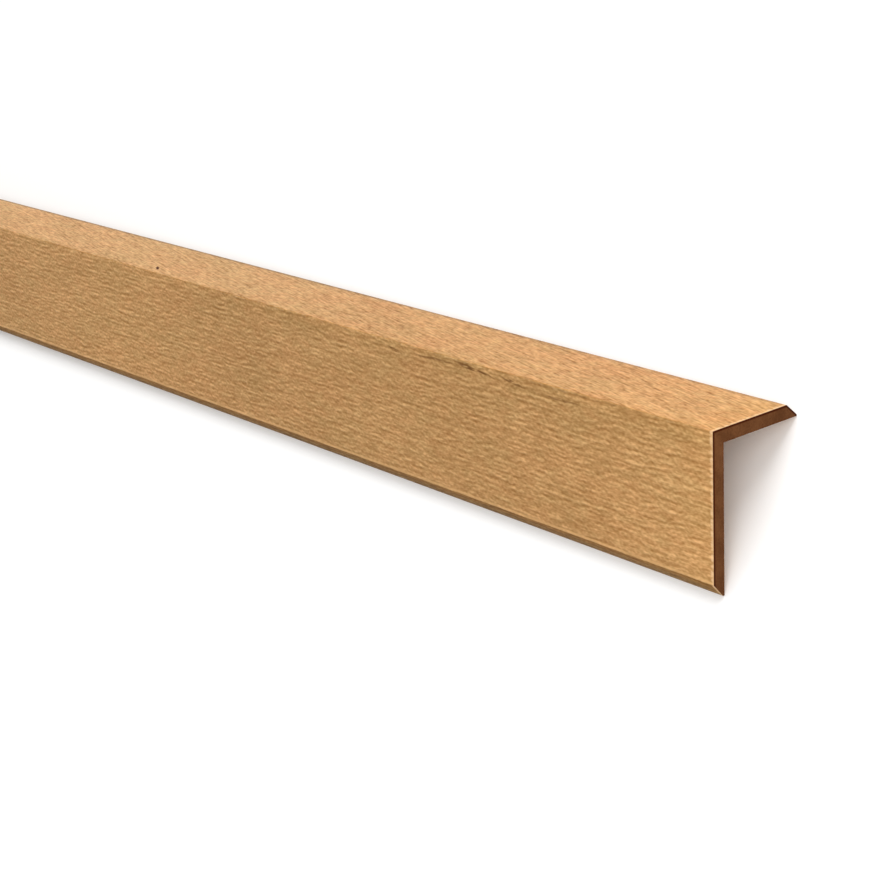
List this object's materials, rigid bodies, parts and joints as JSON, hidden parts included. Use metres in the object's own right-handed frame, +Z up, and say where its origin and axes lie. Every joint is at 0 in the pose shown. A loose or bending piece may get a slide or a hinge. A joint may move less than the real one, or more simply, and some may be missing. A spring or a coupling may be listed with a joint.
{
  "type": "corner guard moulding",
  "caption": "L-section wooden moulding with unequal legs and bevelled tips, fixed over an outside wall corner to guard and trim it.",
  "frame": {"origin": "on the floor, at the middle of the footprint of the piece as it lies on its two leg tips", "axes": "+X along the length, +Y across towards the short leg's tip, +Z up through the arris"},
  "size_m": [1.2, 0.0452, 0.0251],
  "materials": {
    "beech_wood": "planed and clear lacquered show faces in a flecked tan, with darker red-brown end grain"
  },
  "bodies": {
    "root": {"corner_guard": "beech_wood"}
  },
  "joints": []
}
